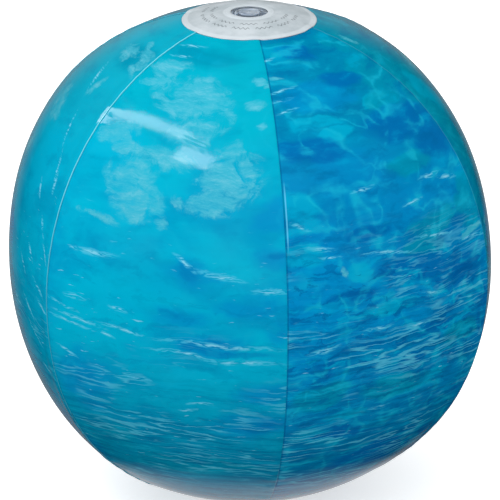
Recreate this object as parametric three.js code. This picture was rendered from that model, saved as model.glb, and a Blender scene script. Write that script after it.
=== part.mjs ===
// An inflatable beach ball: six printed film gores, two polar discs and a push-in valve with its plug.
// Millimetres, +Z up. The origin is the middle of the flat patch that the ball rests on.

import * as THREE from "three";

// ---- Driving dimensions -------------------------------------------------------------------------

const GORES = 6;
const SEAM_RADIUS = 145; // from the ball's axis to a seam, at the equator
const POLE_RATIO = 0.99; // half height over seam radius
const FULLNESS = 2.06; // exponent of the seam's curve: 2 is an ellipse, more is fuller
const EQUATOR_PULL = 0.617; // how far behind the axis a gore's arc is centred at the equator, in radii
const PULL_EASE = 0.565; // how much of that has gone at the poles, where the ball is rounder

const FILM = 0.3; // thickness of the film
const GAP = 0.3; // clearance between films that are welded on the real ball
const LAP = 3; // width of the welded lap along a seam
const LAP_STEP = 2.4; // length over which the upper film rises onto the lap
const GORE_END_RADIUS = 33; // where the gores' tips are cut, under the discs

const DISC_RADIUS = 38.4;
const PATCH_RADIUS = 16; // the flat on which the ball's weight rests

const VALVE_HOLE_RADIUS = 10.5;
const FLANGE_INNER_RADIUS = 9.9;
const FLANGE_OUTER_RADIUS = 14.5;
const FLANGE_THICKNESS = 0.6;

const STEM_OUTER_RADIUS = 4.5;
const STEM_LIP_RADIUS = 4.9;
const STEM_LIP_HEIGHT = 1;
const BORE_RADIUS = 3.2;
const STEM_LENGTH = 12.1;
const RIM_DEPTH = 1.9; // how far the stem's rim lies below the disc when pushed in
const SKIRT_WALL = 0.6;
const SKIRT_FOOT_RISE = 1.5; // the skirt joins the stem this far above the stem's inner end

const PLUG_HEAD_RADIUS = 6.2;
const PLUG_HEAD_THICKNESS = 1.4;
const PLUG_CHAMFER = 0.4;
const NOSE_ROOT_RADIUS = 2.95;
const NOSE_TIP_RADIUS = 2.2;
const NOSE_DEPTH = 4; // how far the nose reaches below the rim

const STRAP_WIDTH = 4;
const STRAP_THICKNESS = 0.8;
const STRAP_BEND_X = 6.9; // from the axis to the middle of the bend, about which the plug tips
const FLAP_RADIUS = 4.2;
const FLAP_THICKNESS = 0.5;

const GORE_ROWS = 20;
const DISC_SEGMENTS = 36;
const VALVE_SEGMENTS = 32;

// ---- Worked-out dimensions ----------------------------------------------------------------------

const HALF_GORE = Math.PI / GORES;
const LAP_OFFSET = FILM + GAP; // the upper film's underside clears the lower film
const DISC_OFFSET = LAP_OFFSET + FILM + GAP + FILM; // outer face of a disc, above the gores' outer face
const DISC_OUTER_SIZE = SEAM_RADIUS + DISC_OFFSET;
const DISC_INNER_SIZE = DISC_OUTER_SIZE - FILM;

// Height over the ball's centre of a dome of the given size, at a distance r from the axis.
function domeHeight(size, r) {
  return POLE_RATIO * size * (1 - (r / size) ** FULLNESS) ** (1 / FULLNESS);
}

const CENTRE_Z = domeHeight(DISC_OUTER_SIZE, PATCH_RADIUS);
const VALVE_Z = CENTRE_Z + domeHeight(DISC_OUTER_SIZE, VALVE_HOLE_RADIUS);
const RIM_Z = VALVE_Z - RIM_DEPTH;
const STEM_END_Z = RIM_Z - STEM_LENGTH;
const GORE_END_ANGLE = Math.acos(GORE_END_RADIUS / SEAM_RADIUS);

// ---- Materials ----------------------------------------------------------------------------------

const printedFilm = (name, color) =>
  new THREE.MeshStandardMaterial({ name, color, roughness: 0.25, metalness: 0 });

const turquoiseFilm = printedFilm("ocean_turquoise", "#17a5c4");
const blueFilm = printedFilm("ocean_blue", "#0c86b8");
const tealFilm = printedFilm("ocean_teal", "#0f7f9c");
// One film for each gore, going round anticlockwise as seen from above.
const goreFilms = [turquoiseFilm, blueFilm, tealFilm, blueFilm, tealFilm, turquoiseFilm];

const whiteFilm = new THREE.MeshStandardMaterial({
  name: "white_film",
  color: "#cfd5d8",
  roughness: 0.35,
  metalness: 0,
});
const clearPvc = new THREE.MeshStandardMaterial({
  name: "clear_pvc",
  color: "#a5b2c0",
  roughness: 0.15,
  metalness: 0,
});

// ---- The ball's surface -------------------------------------------------------------------------

// A point of the ball at a latitude-like angle t and a longitude. The seams lie at odd multiples of
// HALF_GORE from the first gore's middle; between two seams the section is a flatter arc.
function ballPoint(size, t, longitude, goreMiddle) {
  const sine = Math.sin(t);
  const cosine = Math.cos(t);
  const reach = (Math.abs(cosine) ** FULLNESS + Math.abs(sine / POLE_RATIO) ** FULLNESS) ** (-1 / FULLNESS);
  // Past its own seam the film lies on the neighbour's arc, the mirror image at that seam.
  let fromMiddle = Math.abs(longitude - goreMiddle);
  if (fromMiddle > HALF_GORE) fromMiddle = 2 * HALF_GORE - fromMiddle;
  const pull = -EQUATOR_PULL + PULL_EASE * sine * sine;
  const arcRadius = Math.hypot(Math.sin(HALF_GORE), Math.cos(HALF_GORE) - pull);
  const section = pull * Math.cos(fromMiddle) + Math.sqrt(arcRadius ** 2 - (pull * Math.sin(fromMiddle)) ** 2);
  const radius = size * reach * cosine * section;
  return new THREE.Vector3(
    radius * Math.cos(longitude),
    radius * Math.sin(longitude),
    CENTRE_Z + size * reach * sine,
  );
}

// One gore: a segmented box bent onto the ball. Its x runs along the longitude, y along the latitude
// and z through the film. Its first edge runs on a little past the seam, under the neighbour, and its
// last one steps up over the next neighbour and ends on the seam.
function goreGeometry(goreMiddle) {
  const plainColumns = [-20, -10, 0, 10, 20].map(THREE.MathUtils.degToRad);
  const columns = plainColumns.length + 5;
  const geometry = new THREE.BoxGeometry(1, 1, 1, columns - 1, GORE_ROWS, 1);
  const position = geometry.getAttribute("position");
  for (let i = 0; i < position.count; i++) {
    const t = position.getY(i) * 2 * GORE_END_ANGLE;
    const anglePerMillimetre = 1 / (SEAM_RADIUS * Math.cos(t));
    const stations = [
      -HALF_GORE - LAP * anglePerMillimetre,
      -HALF_GORE,
      ...plainColumns,
      HALF_GORE - (LAP + LAP_STEP) * anglePerMillimetre,
      HALF_GORE - LAP * anglePerMillimetre,
      HALF_GORE,
    ];
    const column = Math.round((position.getX(i) + 0.5) * (columns - 1));
    const lifted = column >= columns - 2 ? LAP_OFFSET : 0;
    const depth = (position.getZ(i) - 0.5) * FILM;
    const p = ballPoint(SEAM_RADIUS + lifted + depth, t, goreMiddle + stations[column], goreMiddle);
    position.setXYZ(i, p.x, p.y, p.z);
  }
  return geometry;
}

// ---- Turned pieces ------------------------------------------------------------------------------

// A solid turned about the Z axis from [radius, z] points that run counter-clockwise.
function turned(points, segments) {
  const profile = points.map(([r, z]) => new THREE.Vector2(r, z));
  return new THREE.LatheGeometry(profile, segments).rotateX(Math.PI / 2);
}

// Points of a closed profile between two curves, out along the lower and back along the upper one.
function band(radii, lower, upper) {
  const outward = radii.map((r) => [r, lower(r)]);
  const inward = [...radii].reverse().map((r) => [r, upper(r)]);
  return [...outward, ...inward];
}

function topDiscGeometry() {
  const radii = [VALVE_HOLE_RADIUS, FLANGE_OUTER_RADIUS, 20, 26, GORE_END_RADIUS, DISC_RADIUS];
  const profile = band(
    radii,
    (r) => CENTRE_Z + domeHeight(DISC_INNER_SIZE, r),
    (r) => CENTRE_Z + domeHeight(DISC_OUTER_SIZE, r),
  );
  return turned([...profile, profile[0]], DISC_SEGMENTS);
}

// The twin disc below: it is pressed flat within the patch on which the ball stands.
function bottomDiscGeometry() {
  const radii = [0, PATCH_RADIUS, 22, 28, GORE_END_RADIUS, DISC_RADIUS];
  const outer = (r) => CENTRE_Z - domeHeight(DISC_OUTER_SIZE, Math.max(r, PATCH_RADIUS));
  return turned(
    band(radii, outer, (r) => outer(r) + FILM),
    DISC_SEGMENTS,
  );
}

function flangeGeometry() {
  const underDisc = (r) => CENTRE_Z + domeHeight(DISC_INNER_SIZE, r) - GAP;
  const profile = band(
    [FLANGE_INNER_RADIUS, VALVE_HOLE_RADIUS, FLANGE_OUTER_RADIUS],
    (r) => underDisc(r) - FLANGE_THICKNESS,
    underDisc,
  );
  return turned([...profile, profile[0]], VALVE_SEGMENTS);
}

// The skirt hangs from the flange's inner edge and rolls in to the foot of the stem.
function skirtGeometry() {
  const topZ = CENTRE_Z + domeHeight(DISC_INNER_SIZE, FLANGE_INNER_RADIUS) - FLANGE_THICKNESS - 2 * GAP;
  const footZ = STEM_END_Z + SKIRT_FOOT_RISE;
  const footRadius = STEM_OUTER_RADIUS + GAP;
  const outside = new THREE.CubicBezierCurve(
    new THREE.Vector2(footRadius, footZ - SKIRT_WALL),
    new THREE.Vector2(footRadius + 2.6, footZ - SKIRT_WALL),
    new THREE.Vector2(FLANGE_INNER_RADIUS + SKIRT_WALL, topZ - 7),
    new THREE.Vector2(FLANGE_INNER_RADIUS + SKIRT_WALL, topZ),
  );
  const inside = new THREE.CubicBezierCurve(
    new THREE.Vector2(FLANGE_INNER_RADIUS, topZ),
    new THREE.Vector2(FLANGE_INNER_RADIUS, topZ - 6.4),
    new THREE.Vector2(footRadius + 2, footZ),
    new THREE.Vector2(footRadius, footZ),
  );
  const profile = [...outside.getPoints(7), ...inside.getPoints(7)].map((p) => [p.x, p.y]);
  return turned([...profile, profile[0]], VALVE_SEGMENTS);
}

function stemGeometry() {
  const lipZ = RIM_Z - STEM_LIP_HEIGHT;
  const profile = [
    [BORE_RADIUS, STEM_END_Z],
    [STEM_OUTER_RADIUS, STEM_END_Z],
    [STEM_OUTER_RADIUS, lipZ - 0.4],
    [STEM_LIP_RADIUS, lipZ],
    [STEM_LIP_RADIUS, RIM_Z - 0.3],
    [STEM_LIP_RADIUS - 0.3, RIM_Z],
    [BORE_RADIUS, RIM_Z],
  ];
  return turned([...profile, profile[0]], VALVE_SEGMENTS);
}

function plugGeometry() {
  const headBottom = RIM_Z + GAP;
  const headTop = headBottom + PLUG_HEAD_THICKNESS;
  return turned(
    [
      [0, RIM_Z - NOSE_DEPTH],
      [NOSE_TIP_RADIUS - PLUG_CHAMFER, RIM_Z - NOSE_DEPTH],
      [NOSE_TIP_RADIUS, RIM_Z - NOSE_DEPTH + PLUG_CHAMFER],
      [NOSE_ROOT_RADIUS, headBottom],
      [PLUG_HEAD_RADIUS, headBottom],
      [PLUG_HEAD_RADIUS, headTop - PLUG_CHAMFER],
      [PLUG_HEAD_RADIUS - PLUG_CHAMFER, headTop],
      [0, headTop],
    ],
    VALVE_SEGMENTS,
  );
}

// A flat strip on edge: it leaves the stem below its lip, bends once and reaches the plug's head.
function strapGeometry() {
  const upperZ = RIM_Z + GAP + PLUG_HEAD_THICKNESS / 2;
  const lowerZ = RIM_Z - STEM_LIP_HEIGHT - STRAP_THICKNESS;
  const bendZ = (upperZ + lowerZ) / 2;
  const half = STRAP_THICKNESS / 2;
  const bend = (upperZ - lowerZ) / 2;
  const outline = new THREE.Shape();
  outline.moveTo(STEM_OUTER_RADIUS + GAP, lowerZ - half);
  outline.lineTo(STRAP_BEND_X, lowerZ - half);
  outline.absarc(STRAP_BEND_X, bendZ, bend + half, -Math.PI / 2, Math.PI / 2, false);
  outline.lineTo(PLUG_HEAD_RADIUS + GAP, upperZ + half);
  outline.lineTo(PLUG_HEAD_RADIUS + GAP, upperZ - half);
  outline.lineTo(STRAP_BEND_X, upperZ - half);
  outline.absarc(STRAP_BEND_X, bendZ, bend - half, Math.PI / 2, -Math.PI / 2, true);
  outline.lineTo(STEM_OUTER_RADIUS + GAP, lowerZ + half);
  const settings = { depth: STRAP_WIDTH, bevelEnabled: false, curveSegments: 6 };
  // The outline stands in the XZ plane, on the -X side of the stem.
  return new THREE.ExtrudeGeometry(outline, settings)
    .translate(0, 0, -STRAP_WIDTH / 2)
    .rotateX(Math.PI / 2)
    .rotateZ(Math.PI);
}

function flapGeometry() {
  const top = STEM_END_Z - GAP;
  return turned(
    [
      [0, top - FLAP_THICKNESS],
      [FLAP_RADIUS, top - FLAP_THICKNESS],
      [FLAP_RADIUS, top],
      [0, top],
    ],
    VALVE_SEGMENTS,
  );
}

// ---- Assembly -----------------------------------------------------------------------------------

function piece(name, geometry, material) {
  const mesh = new THREE.Mesh(geometry, material);
  mesh.name = name;
  return mesh;
}

const ball = new THREE.Group();
for (let i = 0; i < GORES; i++) {
  // A seam faces -Y, and the first gore lies just clockwise of it as seen from above.
  const goreMiddle = -Math.PI / 2 + (2 * i - 1) * HALF_GORE;
  ball.add(piece(`gore_panel_${i + 1}`, goreGeometry(goreMiddle), goreFilms[i]));
}
ball.add(piece("top_disc", topDiscGeometry(), whiteFilm));
ball.add(piece("bottom_disc", bottomDiscGeometry(), whiteFilm));

const valve = new THREE.Group();
valve.add(piece("valve_flange", flangeGeometry(), clearPvc));
valve.add(piece("valve_skirt", skirtGeometry(), clearPvc));
valve.add(piece("valve_stem", stemGeometry(), clearPvc));
valve.add(piece("valve_plug", plugGeometry(), clearPvc));
valve.add(piece("plug_strap", strapGeometry(), clearPvc));
valve.add(piece("check_flap", flapGeometry(), clearPvc));
ball.add(valve);

export default ball;
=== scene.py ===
"""An inflatable beach ball: six film gores with an ocean print, two white polar discs and a push-in valve.

Metres, +Z up. The origin is the middle of the flat patch that the ball rests on.
"""

import math
from collections import namedtuple

import bmesh
import bpy
from mathutils import Matrix, Vector, noise
from mathutils.geometry import interpolate_bezier


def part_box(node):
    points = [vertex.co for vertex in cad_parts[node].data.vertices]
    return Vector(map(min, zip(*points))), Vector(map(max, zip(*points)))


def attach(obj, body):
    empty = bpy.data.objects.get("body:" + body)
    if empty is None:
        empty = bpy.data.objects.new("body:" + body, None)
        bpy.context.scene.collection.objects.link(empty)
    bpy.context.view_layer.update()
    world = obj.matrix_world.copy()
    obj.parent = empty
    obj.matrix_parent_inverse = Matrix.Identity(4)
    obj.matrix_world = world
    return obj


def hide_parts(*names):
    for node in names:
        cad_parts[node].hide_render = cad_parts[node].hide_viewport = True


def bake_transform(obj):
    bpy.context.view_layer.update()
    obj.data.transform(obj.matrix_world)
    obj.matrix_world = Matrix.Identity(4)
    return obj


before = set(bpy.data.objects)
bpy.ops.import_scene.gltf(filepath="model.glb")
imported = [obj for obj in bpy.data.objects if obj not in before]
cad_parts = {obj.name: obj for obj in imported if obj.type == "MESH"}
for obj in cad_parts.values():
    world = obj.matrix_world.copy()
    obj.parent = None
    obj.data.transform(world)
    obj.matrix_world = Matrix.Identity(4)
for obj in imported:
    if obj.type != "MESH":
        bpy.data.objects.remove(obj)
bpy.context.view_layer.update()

bl_info = {
    "name": "Beach ball",
    "version": (1, 0, 0),
    "blender": (4, 5, 0),
    "location": "3D View > Sidebar > Beach ball",
    "description": "Builds the film, discs and valve of an inflatable beach ball round its fixed frame",
    "category": "Add Mesh",
}

MM = 0.001

# ---- The ball's surface, as in the frame ---------------------------------------------------------

GORES = 6
HALF_GORE = math.pi / GORES
SEAM_RADIUS = 145 * MM
POLE_RATIO = 0.99
FULLNESS = 2.06
EQUATOR_PULL = 0.617
PULL_EASE = 0.565
GORE_END_RADIUS = 33 * MM
GORE_END_ANGLE = math.acos(GORE_END_RADIUS / SEAM_RADIUS)
PATCH_RADIUS = 16 * MM

GORE_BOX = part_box("gore_panel_1")
TOP_DISC_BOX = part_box("top_disc")
FLANGE_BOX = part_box("valve_flange")
SKIRT_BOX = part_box("valve_skirt")
STEM_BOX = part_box("valve_stem")
PLUG_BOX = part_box("valve_plug")
STRAP_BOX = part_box("plug_strap")

CENTRE_Z = (GORE_BOX[0].z + GORE_BOX[1].z) / 2
DISC_RADIUS = TOP_DISC_BOX[1].x
DISC_SIZE = SEAM_RADIUS + 1.5 * MM  # size of the dome that a disc's outer face follows at its middle
VALVE_HOLE_RADIUS = 10.5 * MM
VALVE_BORE_RADIUS = 9.9 * MM
MOULDED_WALL = 0.6 * MM
FLANGE_RADIUS = FLANGE_BOX[1].x
STEM_RADIUS = 4.5 * MM

# ---- The print -----------------------------------------------------------------------------------

# A gore's print is laid out flat, in millimetres: across from the gore's middle line and up from the
# ball's equator. A patch is (across, up, half width, half height, tilt in degrees). After "seed",
# "ripple_top" is a height in millimetres and the others are strengths and shares between 0 and 1.
PRINT_1 = {
    "water": "#00b2d2",
    "second": "#009cc6",
    "high": "#00abc2",
    "low": "#007ba2",
    "blue": [
        (-50, -42, 26, 30, 0),
        (62, 66, 20, 18, 20),
        (20, 33, 24, 12, -10),
        (66, 44, 22, 10, 0),
        (50, 16, 30, 10, 5),
        (14, 8, 26, 9, 0),
        (70, 2, 14, 14, 0),
        (28, -8, 32, 9, 8),
        (56, -36, 26, 8, 8),
        (52, -57, 34, 13, 12),
    ],
    "deep": [
        (44, -11.5, 36, 3.2, 0),
        (17, 34, 12, 6, -12),
        (66, 46, 8, 4, 0),
        (8, 9, 10, 3.5, 0),
        (24, -8, 22, 4, 12),
        (58, -56, 22, 6, 16),
        (-58, -100, 14, 22, 40),
    ],
    "teal": [
        (-6, 166, 34, 14, 0),
        (-38, -84, 50, 22, -14),
        (10, -96, 60, 12, 5),
    ],
    "pale": [
        (-40, 96, 26, 22, 0),
        (-20, 26, 50, 30, 0),
        (30, -26, 40, 7, 4),
    ],
    "foam": [
        (-2, 134, 29, 20, -10),
        (-40, 106, 16, 8, 12),
        (-22, 152, 16, 8, 20),
        (-28, 96, 17, 7, -14),
        (10, 116, 24, 12, 25),
        (-25, 86, 22, 15, 30),
        (-20, 70, 20, 15, -20),
        (-6, 95, 24, 9, 0),
        (32, 88, 22, 24, 0),
        (25, 74, 24, 10, 8),
        (36, 132, 8, 5.5, -10),
        (45, 118, 5, 4, 0),
        (7, 72, 8, 4.5, -15),
        (-2, 59, 6, 5.5, -40),
        (-28, 141, 14, 3.4, 18),
        (33, 149, 12, 3, -34),
        (-40, 56, 20, 3.4, -6),
    ],
    "strokes": [
        (-15, 173, 10, 1.9, 14),
        (-19, 163, 9, 1.8, 10),
        (-42, 37, 20, 2.5, 3),
        (14, 39, 11, 1.8, -32),
        (36, 33, 19, 2.4, -12),
        (64, 26, 13, 2.7, 3),
        (-54, 9, 10, 2.1, -4),
        (-24, 6.5, 8, 1.9, -4),
        (-62, 3, 15, 1.3, -12),
        (-52, -3, 24, 1.5, -10),
        (-56, -6, 20, 1.2, -10),
        (-33, -9, 8, 1.2, -16),
        (34, -7, 46, 2, -1),
        (14, -14, 26, 1.6, -5),
        (46, -16.5, 30, 2.2, 1),
        (-22, -4.5, 20, 1.4, -5),
        (-14, -33, 11, 1.2, -4),
        (22, -46, 11, 1.3, 5),
        (14, -51, 8, 1.2, 8),
        (-60, -24, 10, 1.2, -22),
    ],
    "creases": [
        (8, 108.3, 9, 0.8, -18),
        (8, 106.1, 9, 0.8, -18),
    ],
    "seed": 1.7,
    "veins": 0.16,
    "margin": 0,
    "depth": 0.45,
    "chop": 0.16,
    "softness": 0.6,
    "threads": 0.6,
    "painted_groove_shade": 0,
    "painted_seam_highlight": 0,
    "ripple_top": -5,
    "mottle": 0.16,
}
PRINT_2 = {
    "water": "#008ecb",
    "second": "#0082bd",
    "high": "#0086ac",
    "low": "#00719f",
    "blue": [
        (-14, 134, 32, 14, 0),
        (10, 60, 50, 14, 0),
        (-20, 84, 30, 20, 0),
    ],
    "deep": [
        (-8, 169, 16, 11, -20),
        (6, 142, 20, 8, -12),
        (28, 106, 38, 15, -6),
        (46, 92, 22, 14, -20),
        (-38, 102, 28, 11, -6),
        (-18, 52, 20, 6, 0),
        (12, 26, 40, 10, -6),
        (46, 16, 30, 12, -4),
        (-34, 18, 22, 6, 0),
        (-49, -23, 16, 6, -6),
        (10, -30, 13, 8, 0),
        (70, -16, 9, 20, 0),
        (26, -13, 24, 5, 0),
        (50, -62, 26, 6, 8),
        (-30, -70, 30, 6, -4),
        (10, -96, 46, 17, 8),
    ],
    "teal": [
        (-16, 174, 18, 9, 0),
        (22, 122, 18, 9, 0),
        (-50, -40, 22, 12, 0),
        (20, 36, 22, 9, 0),
        (30, 166, 26, 12, -30),
        (32, 140, 26, 18, -20),
        (54, 108, 12, 26, 28),
        (23, 83, 24, 8, 4),
        (30, 47, 30, 11, 6),
        (62, 50, 16, 20, 0),
        (50, -22, 26, 9, 0),
        (0, -44, 34, 9, 0),
    ],
    "pale": [
        (-60, 68, 18, 16, 20),
        (-62, 44, 20, 9, 0),
        (-26, 118, 20, 5, 0),
        (-17, 110, 14, 5, 6),
        (13, 124, 9, 5, 20),
        (-26, 32, 10, 8, 0),
        (-10, 6, 34, 5, 0),
        (20, -46, 30, 6, 6),
        (-30, -57, 20, 5, 0),
    ],
    "foam": [
        (-33, 151, 5, 2.6, 10),
        (-36, 33, 4, 4.5, 0),
        (62, 35, 14, 2.4, 14),
    ],
    "strokes": [
        (-28, 166, 7, 1.6, 18),
        (-34, 141, 11, 1.5, 16),
        (-37, 134, 9, 1.3, 8),
        (-38, 127, 10, 1.3, 10),
        (-15, 75.5, 10, 1.6, 10),
        (34, 73, 11, 1.9, 2),
        (49, 68.5, 11, 1.9, -14),
        (17, 62, 10, 1.3, 3),
        (-59, 61, 8, 1.8, -30),
        (-49, 47, 11, 1.9, -6),
        (-44, 42, 9, 1.3, -4),
        (-6, 38, 22, 1.3, -10),
        (30, 40, 20, 1.3, -8),
        (60, 31, 18, 1.3, -6),
        (-52, -11, 12, 2.4, 6),
        (-17, -4, 13, 1.6, 0),
        (12, -8, 11, 1.8, 3),
        (46, 3, 13, 1.3, -4),
        (24, 9, 11, 1.2, -6),
        (6, -26, 11, 1, -3),
        (-8, -56, 9, 1.5, 3),
    ],
    "creases": [],
    "seed": 4.1,
    "veins": 0.52,
    "margin": 0.15,
    "depth": 0.85,
    "chop": 0.6,
    "softness": 0.3,
    "threads": 0.68,
    "painted_groove_shade": 0.42,
    "painted_seam_highlight": 0.75,
    "ripple_top": 50,
    "mottle": 0.46,
}
PRINT_3 = {
    "water": "#0098b8",
    "second": "#008bb4",
    "high": "#0092ac",
    "low": "#006c9c",
    "blue": [
        (-50, 30, 26, 12, 0),
        (-40, -10, 30, 9, 0),
        (20, 90, 30, 20, 10),
        (30, 10, 34, 16, 0),
    ],
    "deep": [
        (-58, 14, 14, 5, 0),
        (-52, -28, 20, 9, 6),
        (16, 92, 16, 10, 0),
        (28, -40, 34, 9, 0),
    ],
    "teal": [
        (-40, 70, 30, 40, 0),
        (0, 150, 34, 22, 0),
        (30, 50, 30, 14, 0),
    ],
    "pale": [
        (-30, 110, 14, 30, 20),
        (-6, 40, 30, 9, 0),
        (10, -16, 36, 7, 0),
    ],
    "foam": [
        (-24, 165, 12, 3, 60),
        (2, 120, 16, 12, 20),
        (-60, 34, 10, 3, 10),
    ],
    "strokes": [
        (-52, 22, 15, 1.5, 8),
        (-46, 12, 13, 1.3, -4),
        (-56, 2, 13, 1.5, 4),
        (-30, -14, 24, 1.5, 2),
        (-20, 64, 18, 1.5, -8),
        (34, 76, 13, 1.5, 6),
        (10, 28, 20, 1.6, -4),
        (40, -4, 20, 1.5, 5),
    ],
    "creases": [],
    "seed": 7.9,
    "veins": 0.34,
    "margin": 0.4,
    "depth": 0.75,
    "chop": 0.5,
    "softness": 0.4,
    "threads": 0.6,
    "painted_groove_shade": 0.3,
    "painted_seam_highlight": 0,
    "ripple_top": 40,
    "mottle": 0.36,
}
PRINT_6 = {
    "water": "#00a9cb",
    "second": "#009bc0",
    "high": "#10acc4",
    "low": "#0080a6",
    "blue": [
        (-20, 20, 40, 16, 0),
        (-30, -34, 40, 14, 0),
    ],
    "deep": [
        (-26, 18, 18, 6, 0),
        (30, -84, 40, 16, 10),
    ],
    "teal": [
        (20, 150, 30, 16, 0),
        (20, -70, 50, 24, 0),
    ],
    "pale": [
        (24, 70, 34, 34, 0),
        (10, 10, 44, 14, 0),
    ],
    "foam": [
        (22, 122, 4.5, 10, 8),
        (26, 152, 15, 8, -30),
        (7, 150, 14, 8, -20),
        (-4, 100, 16, 12, -20),
        (-22, 66, 18, 10, 10),
        (30, 142, 12, 3, -24),
        (14, 160, 12, 3.4, -30),
    ],
    "strokes": [
        (10, 128, 15, 2.2, -52),
        (32, 96, 15, 1.5, -64),
        (46, 74, 13, 1.6, -58),
        (52, 66, 10, 1.8, -70),
        (38, 58, 9, 1.5, -50),
        (56, 40, 10, 1.5, -48),
        (66, 28, 9, 1.3, -42),
        (46, 22, 9, 1.5, -38),
        (36, 12, 11, 1.3, -40),
        (62, 6, 11, 1.6, -30),
        (68, -4, 11, 1.8, -26),
        (44, -10, 13, 1.5, -34),
        (52, -24, 15, 1.3, -30),
        (60, -44, 13, 1.2, -24),
        (20, -14, 18, 1.5, -12),
    ],
    "creases": [],
    "seed": 11.3,
    "veins": 0.12,
    "margin": 1,
    "depth": 0.5,
    "chop": 0.12,
    "softness": 0.6,
    "threads": 0.5,
    "painted_groove_shade": 0.3,
    "painted_seam_highlight": 0,
    "ripple_top": 5,
    "mottle": 0.16,
}


def mirrored(layout, seed):
    """The same kind of water printed the other way round, for a gore on the far side."""
    turned = dict(layout, seed=seed)
    for kind in ("blue", "deep", "teal", "pale", "foam", "strokes"):
        turned[kind] = [(-u, v, half_u, half_v, -tilt) for u, v, half_u, half_v, tilt in layout[kind]]
    return turned


GORE_PRINTS = [
    PRINT_1,
    PRINT_2,
    PRINT_3,
    mirrored(PRINT_2, 14.6),
    mirrored(PRINT_3, 17.2),
    PRINT_6,
]

# ---- Small helpers -------------------------------------------------------------------------------


def linear(hex_code):
    """Turns an sRGB hex colour into Blender's linear RGBA."""
    channels = [int(hex_code[i:i + 2], 16) / 255 for i in (1, 3, 5)]
    values = [c / 12.92 if c <= 0.04045 else ((c + 0.055) / 1.055) ** 2.4 for c in channels]
    return (*values, 1.0)


def per(millimetres):
    """The texture scale at which one feature of a pattern is that long."""
    return 1 / (millimetres * MM)


def ease(low, high, value):
    """Rises smoothly from 0 at low to 1 at high."""
    share = min(1.0, max(0.0, (value - low) / (high - low)))
    return share * share * (3 - 2 * share)


def add_node(tree, kind, inputs=None, **settings):
    """Adds a node with its settings, and fills its inputs with values or with links from other nodes."""
    node = tree.nodes.new(kind)
    for name, value in settings.items():
        setattr(node, name, value)
    for key, value in (inputs or {}).items():
        if isinstance(value, bpy.types.NodeSocket):
            tree.links.new(value, node.inputs[key])
        else:
            node.inputs[key].default_value = value
    return node


# Sockets of the Mix node when it mixes colours.
FACTOR, COLOR_A, COLOR_B, COLOR_OUT = 0, 6, 7, 2


def new_material(name):
    """A material with an empty node tree and its output."""
    material = bpy.data.materials.new(name)
    material.use_nodes = True
    material.node_tree.nodes.clear()
    return material, material.node_tree


def finish_material(tree, shader):
    """Links a shader to the material's output."""
    add_node(tree, "ShaderNodeOutputMaterial", {"Surface": shader.outputs[0]})


def make_object(name, bm, materials, smooth=True):
    """Turns a bmesh into an object at the origin."""
    for face in bm.faces:
        face.smooth = smooth
    mesh = bpy.data.meshes.new(name)
    bm.to_mesh(mesh)
    bm.free()
    for material in materials:
        mesh.materials.append(material)
    piece = bpy.data.objects.new(name, mesh)
    bpy.context.scene.collection.objects.link(piece)
    return piece


def stand_for(piece, node, body):
    """Puts a piece in place of a CAD node: attaches it to that node's body and hides the node."""
    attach(piece, body)
    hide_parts(node)


# ---- Materials -----------------------------------------------------------------------------------


def tint(tree, mask, strength, below, color):
    """Lays a colour over another where the mask is white."""
    factor = add_node(tree, "ShaderNodeMath", {0: mask, 1: strength}, operation="MULTIPLY")
    mixed = add_node(
        tree,
        "ShaderNodeMix",
        {FACTOR: factor.outputs[0], COLOR_A: below, COLOR_B: linear(color)},
        data_type="RGBA",
    )
    return mixed.outputs[COLOR_OUT]


def where(tree, *ranges, mask=None):
    """White where every value lies in its range, and inside the mask where there is one.

    A range is (value, low, high): it rises smoothly from low to high, or falls if low is above high.
    """
    for value, low, high in ranges:
        inside = add_node(
            tree,
            "ShaderNodeMapRange",
            {"Value": value, "From Min": low, "From Max": high},
            interpolation_type="SMOOTHSTEP",
        ).outputs["Result"]
        if mask is not None:
            inside = add_node(tree, "ShaderNodeMath", {0: mask, 1: inside}, operation="MULTIPLY").outputs[0]
        mask = inside
    return mask


def streaks(tree, plan, length, height, detail, roughness=0.5, distortion=0.0, tilt=0.0):
    """A noise drawn out sideways. Its features are about that long and high, in millimetres."""
    stretched = add_node(
        tree,
        "ShaderNodeMapping",
        {"Vector": plan, "Rotation": (0, 0, math.radians(tilt)), "Scale": (per(length), per(height), 1)},
    )
    drawn_out = add_node(
        tree,
        "ShaderNodeTexNoise",
        {
            "Vector": stretched.outputs[0],
            "Scale": 1.0,
            "Detail": detail,
            "Roughness": roughness,
            "Distortion": distortion,
        },
    )
    return drawn_out.outputs["Fac"]


def hair_lines(tree, value, density, outer, inner):
    """Thin lines that follow a noise's contours. They fade from their inner to their outer width."""
    fan = add_node(tree, "ShaderNodeMath", {0: value, 1: density}, operation="MULTIPLY")
    folded = add_node(tree, "ShaderNodeMath", {0: fan.outputs[0], 1: 0.5}, operation="PINGPONG")
    return where(tree, (folded.outputs[0], outer, inner))


def nearest_patch(tree, plan, patches):
    """How far inside the patches a place is: 1 in the middle of one, 0 at its edge and outside."""
    nearest = None
    for across, up, half_width, half_height, tilt in patches:
        local = add_node(
            tree,
            "ShaderNodeMapping",
            {
                "Vector": plan,
                "Location": (across * MM, up * MM, 0),
                "Rotation": (0, 0, math.radians(tilt)),
                "Scale": (half_width * MM, half_height * MM, 1),
            },
            vector_type="TEXTURE",
        )
        inside = add_node(
            tree, "ShaderNodeTexGradient", {"Vector": local.outputs[0]}, gradient_type="SPHERICAL"
        )
        value = inside.outputs["Fac"]
        if nearest is not None:
            value = add_node(tree, "ShaderNodeMath", {0: nearest, 1: value}, operation="MAXIMUM").outputs[0]
        nearest = value
    return nearest


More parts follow.
